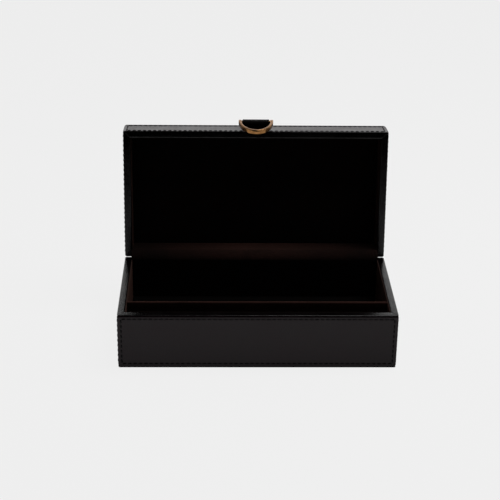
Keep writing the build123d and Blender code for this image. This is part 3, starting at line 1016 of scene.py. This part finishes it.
def floor():
    """A wide pale floor. The case itself sees another one just under it, a card that the camera
    doesn't see and that is dark close to the case."""
    around = np.linspace(0, 2 * math.pi, 65)[:-1]
    circle = [(FLOOR_RADIUS * math.cos(a), FLOOR_RADIUS * math.sin(a)) for a in around]
    ground = flat_stage("floor", circle, 0)
    nodes = Surface("floor")
    nodes.set(Base_Color=(0.04, 0.04, 0.04), Roughness=1.0, Specular_IOR_Level=0.0,
              Emission_Color=(1.0, 1.0, 1.0), Emission_Strength=FLOOR_GLOW)
    ground.data.materials.append(nodes.material)
    ground.visible_diffuse = False
    ground.visible_glossy = False

    corners = [(-CARD_HALF, CARD_FRONT), (CARD_HALF, CARD_FRONT),
               (CARD_HALF, CARD_REAR), (-CARD_HALF, CARD_REAR)]
    card = flat_stage("floor_card", corners, -CARD_DEPTH)
    foot = home_box("base_bottom_leather")[1]
    nodes = Surface("floor_card")
    split = nodes.add("SeparateXYZ")
    nodes.link(nodes.coords(), split.inputs[0])
    beside = nodes.math("SUBTRACT", nodes.math("ABSOLUTE", split.outputs[0]), float(foot[0]))
    ahead = nodes.math("SUBTRACT", nodes.math("ABSOLUTE", split.outputs[1]), float(foot[1]))
    away = nodes.math("MAXIMUM", beside, ahead)
    shade = nodes.spread(away, NEAR_SHADE, 1.0, CONTACT_REACH, SHADE_REACH)
    contact = nodes.spread(away, CONTACT_SHADE, 1.0, 0.0, CONTACT_REACH)
    glow = nodes.math("MULTIPLY", nodes.math("MULTIPLY", shade, contact), CARD_GLOW)
    nodes.set(Base_Color=(0.0, 0.0, 0.0), Roughness=1.0, Specular_IOR_Level=0.0,
              Emission_Color=(1.0, 1.0, 1.0), Emission_Strength=glow)
    card.data.materials.append(nodes.material)
    card.visible_camera = False
    card.visible_shadow = False


def studio_light():
    """Broad light from above and behind; the room in front of the case stays dim."""
    world = bpy.data.worlds.new("studio")
    bpy.context.scene.world = world
    world.use_nodes = True
    nodes = Nodes(world.node_tree)
    nodes.tree.nodes.clear()
    output = nodes.add("OutputWorld")
    background = nodes.add("Background")
    nodes.link(background.outputs[0], output.inputs[0])
    split = nodes.add("SeparateXYZ")
    nodes.link(nodes.add("TexCoord").outputs["Generated"], split.inputs[0])
    toward_right, toward_rear, upward = split.outputs

    glow = nodes.math("MULTIPLY", nodes.spread(toward_rear, FRONT_GLOW, 1.0, -0.35, 0.45, "SMOOTHSTEP"),
                      nodes.spread(toward_right, 0.85, 1.15, -0.7, 0.7, "SMOOTHSTEP"))
    for low, high, from_low, from_high in ((FLOOR_LEVEL, REAR_GLOW, 0.06, 0.24),
                                           (1.0, HIGH_GLOW, 0.19, 0.52),
                                           (0.02, 1.0, -0.05, 0.0)):
        step = nodes.spread(upward, low, high, from_low, from_high, "SMOOTHSTEP")
        glow = nodes.math("MULTIPLY", glow, step)
    nodes.link(glow, background.inputs["Strength"])

    data = bpy.data.lights.new("overhead", "AREA")
    data.shape = "RECTANGLE"
    data.size, data.size_y = OVERHEAD_SIZE
    data.energy = OVERHEAD_WATTS
    lamp = bpy.data.objects.new("overhead", data)
    lamp.location = OVERHEAD_AT
    bpy.context.scene.collection.objects.link(lamp)


def camera():
    data = bpy.data.cameras.new("camera")
    data.lens = CAMERA_LENS
    data.sensor_width = SENSOR_WIDTH
    data.clip_start, data.clip_end = 0.05, 100
    view = bpy.data.objects.new("camera", data)
    bpy.context.scene.collection.objects.link(view)
    aim = (Matrix.Rotation(math.radians(CAMERA_YAW), 4, "Z")
           @ Matrix.Rotation(math.radians(90 - CAMERA_PITCH), 4, "X")
           @ Matrix.Rotation(math.radians(CAMERA_ROLL), 4, "Z"))
    view.matrix_world = Matrix.Translation(CAMERA_AT) @ aim
    bpy.context.scene.camera = view
    bpy.context.scene.view_settings.view_transform = "Standard"


# ---- assembly
def walls(body, up, insets):
    """Skins and their stitches, linings and rim binding of the base or the lid."""
    barrel_half = home_box("hinge_pin")[1][0] + BARREL_ROOM
    sides = {"front": -Y, "rear": Y, "left": -X, "right": X}
    for seed, (side, normal) in enumerate(sides.items()):
        upright = insets["side_upright"] if side in ("left", "right") else insets["upright"]
        rim = HINGE_INSET if side == "rear" else insets["rim"]
        seam = (upright, upright, insets["foot"], rim)
        node = f"{body}_{side}_leather"
        place = leather_panel(node, normal, up, seam, (FOOT_CORNER, RIM_CORNER), seed + 3, leather,
                              True, barrel_half if side == "rear" else None)
        stitch_rows(f"{body}_{side}_stitching", place, seam_runs(place.width, place.height, seam), node)
        lining_panel(f"{body}_{side}_lining", -normal, up, seed + 20,
                     # the lid's rear lining: a painted-lit copy of the suede
                     hinge_painted_lit_suede if (body, side) == ("lid", "rear") else suede,
                     # painted light near the rim of the base's side linings
                     body == "base" and side in ("left", "right"))
    rim_binding(body)


leather = leather_material("black_leather", (0.0074, 0.0026, 0.0042), (0.0112, 0.0044, 0.0066), 0.34, 0.235)
rim_leather = leather_material("rim_leather", (0.0012, 0.0008, 0.0009), (0.0022, 0.0014, 0.0016), 0.16, 0.34)
chape_leather = leather_material("chape_leather", (0.0012, 0.0009, 0.0010), (0.0022, 0.0017, 0.0019),
                                 0.36, 0.10)
suede = suede_material("brown_suede", 0.6, 0.14)
# Painted light: the divider's copy of the suede is ten times lighter, with full sheen, for light falling on its
# top.
divider_suede = suede_material("divider_suede", 6.0, 1.0)
# Painted light: the gusset's copy of the suede is about five times lighter, for light falling on it, with painted
# shade towards its ends.
gusset_painted_lit_suede = suede_material("gusset_painted_lit_suede", 3.2, 0.9, 0.25)
# Painted light: the lid's rear lining gets a copy of the suede about six times lighter, for light falling on it,
# with painted shade towards its ends.
hinge_painted_lit_suede = suede_material("hinge_painted_lit_suede", 3.6, 1.0, 0.2)
# Painted shade: a much darker copy of the suede for the cradle and the floor lining deep in the base, where little
# light reaches.
cradle_painted_shade_suede = suede_material("cradle_painted_shade_suede", 0.16, 0.02)
thread = thread_material()
brass = brass_material("ring_brass", (0.33, 0.165, 0.060), (0.17, 0.080, 0.027), 0.18, 0.35)
hinge_brass = brass_material("hinge_brass", (0.56, 0.42, 0.21), (0.36, 0.25, 0.12), 0.34, 0.6)
fibreboard = board_material()

walls("base", Z, BASE_INSETS)
walls("lid", -Z, LID_INSETS)
lid_top = leather_panel("lid_top_leather", Z, Y, (TOP_INSET,) * 4, (END_CORNER, END_CORNER), 40, leather)
stitch_rows("lid_top_stitching", lid_top, seam_runs(lid_top.width, lid_top.height, (TOP_INSET,) * 4),
            "lid_top_leather")
leather_panel("base_bottom_leather", -Z, Y, None, (END_CORNER, END_CORNER), 41, leather)
# painted shade: the dark copy of the suede, deep in the base
lining_panel("base_floor_lining", Z, Y, 30, cradle_painted_shade_suede)
pad = lining_panel("lid_top_lining", -Z, Y, 31, suede, crown=PAD_CROWN, step=2.5 * MM)
divider()
cradle()
gusset()
pull_ring()
chape()

for name, node in frame["nodes"].items():
    if not node.hide_render:
        finish = hinge_brass if name.startswith("hinge_") else fibreboard
        node.data.materials.clear()
        node.data.materials.append(finish)

floor()
studio_light()
camera()
